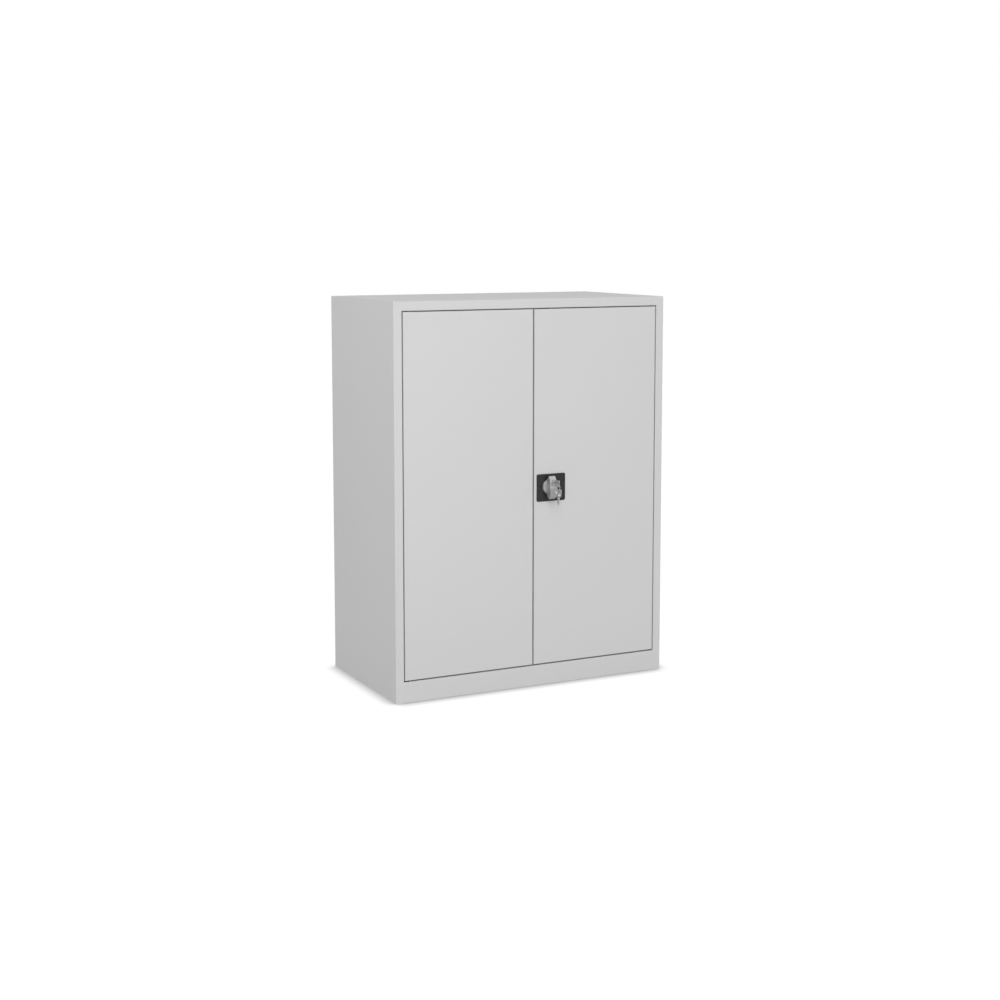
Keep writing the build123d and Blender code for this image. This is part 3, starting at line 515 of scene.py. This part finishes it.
finishes = {name: makePowderCoat(name) for name in powderCoat}
finishes.update({name: makeBareMetal(name) for name in bareMetal})
finishes.update({name: makeMoulded(name) for name in moulded})
slotFinish = {
    "body_paint": "bodyPowderCoat",
    "door_paint": "doorPowderCoat",
    "inner_paint": "innerPowderCoat",
    "zinc": "zincPlate",
    "rod_steel": "drawnRod",
    "satin_chrome": "satinChrome",
    "nickel": "nickelPlate",
    "black_plate": "blackPlate",
    "nylon": "darkNylon",
    "rubber": "blackRubber",
}
for row in frame["record"]["subparts"]:
    materials = nodes[row["node"]].data.materials
    materials.clear()
    materials.append(finishes[slotFinish[row["material_slot"]]])
print("finishes:", len(finishes))


# Surfaces from arrays
def gridTriangles(rows, columns, closeRows, closeColumns):
    # two triangles between each four neighbouring points of a rows x columns grid
    i = np.arange(rows if closeRows else rows - 1)
    j = np.arange(columns if closeColumns else columns - 1)
    i, j = np.meshgrid(i, j, indexing="ij")
    nextI, nextJ = (i + 1) % rows, (j + 1) % columns
    corners = [i * columns + j, i * columns + nextJ, nextI * columns + nextJ, nextI * columns + j]
    a, b, c, d = (corner.ravel() for corner in corners)
    return np.concatenate((np.stack((a, b, c), 1), np.stack((a, c, d), 1)))


def endCaps(rows, columns):
    # fans from two added middle points to the first and the last row
    j = np.arange(columns)
    nextJ = (j + 1) % columns
    last = (rows - 1) * columns
    start = np.stack((np.full(columns, rows * columns), nextJ, j), 1)
    end = np.stack((np.full(columns, rows * columns + 1), last + j, last + nextJ), 1)
    return np.concatenate((start, end))


def makePiece(name, grids, body, slotName="nickel", sharpAngle=32):
    # grids: (points, rows closed, columns closed, ends capped); each is turned so that its faces look outwards
    allPoints, allTriangles, count = [], [], 0
    for grid, closeRows, closeColumns, capped in grids:
        rows, columns = grid.shape[:2]
        points = grid.reshape(-1, 3)
        triangles = gridTriangles(rows, columns, closeRows, closeColumns)
        if capped:
            points = np.concatenate((points, grid[:1].mean(1), grid[-1:].mean(1)))
            triangles = np.concatenate((triangles, endCaps(rows, columns)))
        a, b, c = (points[triangles[:, k]] for k in range(3))
        volume = np.einsum("ij,ij->", a - points[0], np.cross(b - points[0], c - points[0]))
        if volume < 0:
            triangles = triangles[:, ::-1]
        allPoints.append(points)
        allTriangles.append(triangles + count)
        count += len(points)
    mesh = bpy.data.meshes.new(name)
    mesh.from_pydata(np.concatenate(allPoints).tolist(), [], np.concatenate(allTriangles).tolist())
    mesh.shade_smooth()
    mesh.set_sharp_from_angle(angle=math.radians(sharpAngle))
    mesh.materials.append(finishes[slotFinish[slotName]])
    piece = addObject(name, mesh)
    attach(piece, body)
    return piece


def unit(vector):
    vector = np.array(vector, float)
    return vector / np.linalg.norm(vector)


# Keys: a coined bow with a hole, and a blade with a milled groove in each side
keyShape = {
    "width": keyBox[1].z - keyBox[0].z,
    "thickness": keyBox[1].x - keyBox[0].x,
    "bowLength": 0.0225, "shoulder": 0.0045, "hole": 0.00275, "holeInset": 0.0045,
    "cornerPower": 16,          # higher makes the bow's corners sharper
    "edge": 0.00025,
    "coinStart": 0.60, "coinEnd": 0.66, "coinDepth": 0.0003,
    "bladeWidth": 0.006, "bladeStart": 0.019,
    "tip": 0.0025, "tipNarrow": 0.85,
    "cutDepth": 0.0016, "cutSpacing": 0.0034, "cutCount": 4, "cutFlat": 1.25, "cutFlanks": 3,
    "cutCycle": 3, "cutStep": 0.25,                         # each cut is shallower, and after three it starts again
    "frontGroove": (0.0005, 0.0017), "backGroove": (-0.0009, 0.0003),
    "grooveDepth": 0.0005, "grooveFlank": 0.00022,
    "roundSteps": 120, "lengthSteps": 170,
}


def bowGrid(size):
    # round the hole by angle: the outline is where a soft minimum of the bow's straight edges meets that ray
    angle = np.linspace(0, 2 * np.pi, size["roundSteps"], endpoint=False)
    side, halfBlade = size["width"] / 2, size["bladeWidth"] / 2
    bottom = size["bowLength"] - size["holeInset"]
    slope = math.atan2(size["shoulder"], side - halfBlade)
    shoulderReach = bottom * math.cos(slope) + halfBlade * math.sin(slope)
    facings = np.array([np.pi, np.pi / 2, -np.pi / 2, slope, -slope, 0])
    reaches = np.array([size["holeInset"], side, side, shoulderReach, shoulderReach, bottom])
    towards = np.clip(np.cos(angle[:, None] - facings), 0, 1) / reaches
    power = size["cornerPower"]
    outline = (towards ** power).sum(1) ** (-1 / power)
    # section from the hole to the outline: share of the way, step in, depth; the front repeats the back
    e, half = size["edge"], size["thickness"] / 2
    coin = half - size["coinDepth"]
    back = np.array([
        (0, 0, e - coin), (0, e, -coin), (size["coinStart"], 0, -coin),
        (size["coinEnd"], 0, -half), (1, -e, -half), (1, 0, e - half),
    ])
    share, step, depth = np.concatenate((back, back[::-1] * (1, 1, -1))).T
    radius = size["hole"] + share * (outline[:, None] - size["hole"]) + step
    u = size["holeInset"] + radius * np.cos(angle)[:, None]
    v = radius * np.sin(angle)[:, None]
    return np.stack((u, v, np.broadcast_to(depth, u.shape)), -1)


def bladeGrid(size, length):
    # the section is carried along the blade; its lower edge rises in notches and both edges meet at the tip
    u = np.linspace(size["bladeStart"], length, size["lengthSteps"])[:, None]
    half, e = size["bladeWidth"] / 2, size["edge"]
    number = np.arange(size["cutCount"])
    middles = length - size["tip"] - (number + 0.5) * size["cutSpacing"]
    depths = size["cutDepth"] * (1 - number % size["cutCycle"] * size["cutStep"])
    flanks = np.abs(u - middles) / (size["cutSpacing"] / size["cutFlanks"])
    notch = (depths * np.clip(size["cutFlat"] - flanks, 0, 1)).max(1, keepdims=True)
    narrow = half * np.clip((u - length + size["tip"]) / size["tip"], 0, size["tipNarrow"])
    upper = half - narrow
    lower = np.minimum(notch - half + narrow, upper - 3 * e)
    t, d, f = size["thickness"] / 2, size["grooveDepth"], size["grooveFlank"]
    (f0, f1), (b0, b1) = size["frontGroove"], size["backGroove"]
    # points round the section: the edge that a point follows, its offset and its depth;
    # those of the grooves follow no edge and keep their height
    section = [
        (upper, 0, t - e), (upper, -e, t),
        (None, f1 + f, t), (None, f1, t - d), (None, f0, t - d), (None, f0 - f, t),
        (lower, e, t), (lower, 0, t - e), (lower, 0, e - t), (lower, e, -t),
        (None, b0 - f, -t), (None, b0, d - t), (None, b1, d - t), (None, b1 + f, -t),
        (upper, -e, -t), (upper, 0, e - t),
    ]
    v = np.concatenate([
        np.clip(np.full_like(u, offset), lower + e, upper - e) if edge is None else edge + offset
        for edge, offset, depth in section
    ], 1)
    w = np.broadcast_to(np.array([depth for edge, offset, depth in section]), v.shape)
    return np.stack((np.broadcast_to(u, v.shape), v, w), -1)


def makeKey(name, nodeName, top, along, across):
    # key in its own directions: along the blade, across its flat, and through its thickness
    along, across = unit(along), unit(across)
    axes = np.stack((along, across, np.cross(along, across)))
    low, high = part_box(nodeName)
    length = float(np.abs(along) @ (np.array(high) - np.array(low)))
    bow = bowGrid(keyShape) @ axes + np.array(top)
    blade = bladeGrid(keyShape, length) @ axes + np.array(top)
    piece = makePiece(name, [(bow, True, True, False), (blade, False, True, True)], nodeName)
    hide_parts(nodeName)


# the ring stands upright; it and the spare key face the same way
ringCentre = np.array((ringBox[0] + ringBox[1]) / 2)
ringReach = np.array(ringBox[1] - ringBox[0]) / 2
ringFacing = unit((ringReach[1], -ringReach[0], 0))
spareMiddle = (spareBox[0] + spareBox[1]) / 2
makeKey("keyInLock", "key", (spindleX, keyBox[0].y, keyZ), (0, 1, 0), (0, 0, 1))
makeKey("keyOnRing", "spare_key", (spareMiddle.x, spareMiddle.y, spareBox[1].z), (0, 0, -1), ringFacing)
print("keys stand")


# Split ring: a flattened wire in two turns, each flat but for the short step between them
splitRing = {
    "wire": 0.0014, "gap": 0.00004,
    "square": 3.2,              # 2 would be an oval section, higher is squarer
    "turns": 1.97, "stepTurn": 0.09, "startAngle": 0.6,
    "endClose": 0.05,           # how far the rounded ends stay open before their caps
    "sharpAngle": 50,
    "wireSteps": 28, "turnSteps": 300,
}


def ringGrid(size, centre, facing, reach):
    # a wire section carried twice round a circle, with a smooth step up where the second turn begins
    sideways = unit(np.cross((0, 0, 1), facing))
    upwards = np.array((0, 0, 1.0))
    halfWire = size["wire"] / 2
    radius = reach - halfWire
    turn = np.linspace(0, size["turns"], size["turnSteps"])[:, None]
    rise = np.clip((turn - size["turns"] / 2) / size["stepTurn"] + 0.5, 0, 1)
    lift = (rise * rise * (3 - 2 * rise) - 0.5) * halfWire
    # the ends are rounded off over their last half wire width
    left = np.minimum(turn, size["turns"] - turn) * 2 * np.pi * radius / halfWire
    close = np.sqrt(1 - (1 - np.clip(left, 0, 1)) ** 2)
    close = np.maximum(close, size["endClose"])
    # wire section: a squared oval, half as thick as it is wide
    a = np.linspace(0, 2 * np.pi, size["wireSteps"], endpoint=False)[None, :]
    power = 2 / size["square"]
    wide = np.sign(np.cos(a)) * np.abs(np.cos(a)) ** power * size["wire"] / 2
    thick = np.sign(np.sin(a)) * np.abs(np.sin(a)) ** power * (size["wire"] / 4 - size["gap"])
    radial = (radius + wide * close)[..., None]
    axial = (lift + thick * close)[..., None]
    around = (2 * np.pi * turn + size["startAngle"])[..., None]
    return centre + radial * np.cos(around) * sideways + radial * np.sin(around) * upwards + axial * facing


ringPoints = ringGrid(splitRing, ringCentre, ringFacing, ringReach[2])
ringPiece = makePiece("splitRing", [(ringPoints, False, True, True)], "key_ring", sharpAngle=splitRing["sharpAngle"])
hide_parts("key_ring")


# Bright collar in the knob's recess round the key cylinder
collar = {"inner": 0.0056, "outer": 0.00715, "height": 0.0007, "round": 0.0003, "cornerShare": 0.3, "steps": 72}


def collarGrid(size, centre):
    # profile of radius and height with rounded rims, carried round a circle
    inner, outer, top, r = size["inner"], size["outer"], size["height"], size["round"]
    c = size["cornerShare"] * r
    profile = np.array([
        (inner, 0), (inner, top - r), (inner + c, top - c), (inner + r, top),
        (outer - r, top), (outer - c, top - c), (outer, top - r), (outer, 0),
    ])
    angle = np.linspace(0, 2 * np.pi, size["steps"], endpoint=False)[:, None]
    radius, height = profile.T
    x = centre[0] + radius * np.cos(angle)
    z = centre[2] + radius * np.sin(angle)
    y = np.broadcast_to(centre[1] - height, x.shape)
    return np.stack((x, y, z), -1)


collarPoints = collarGrid(collar, (spindleX, plugBox[0].y, keyZ))
makePiece("cylinderCollar", [(collarPoints, True, True, False)], "handle")
print("split ring and collar stand")
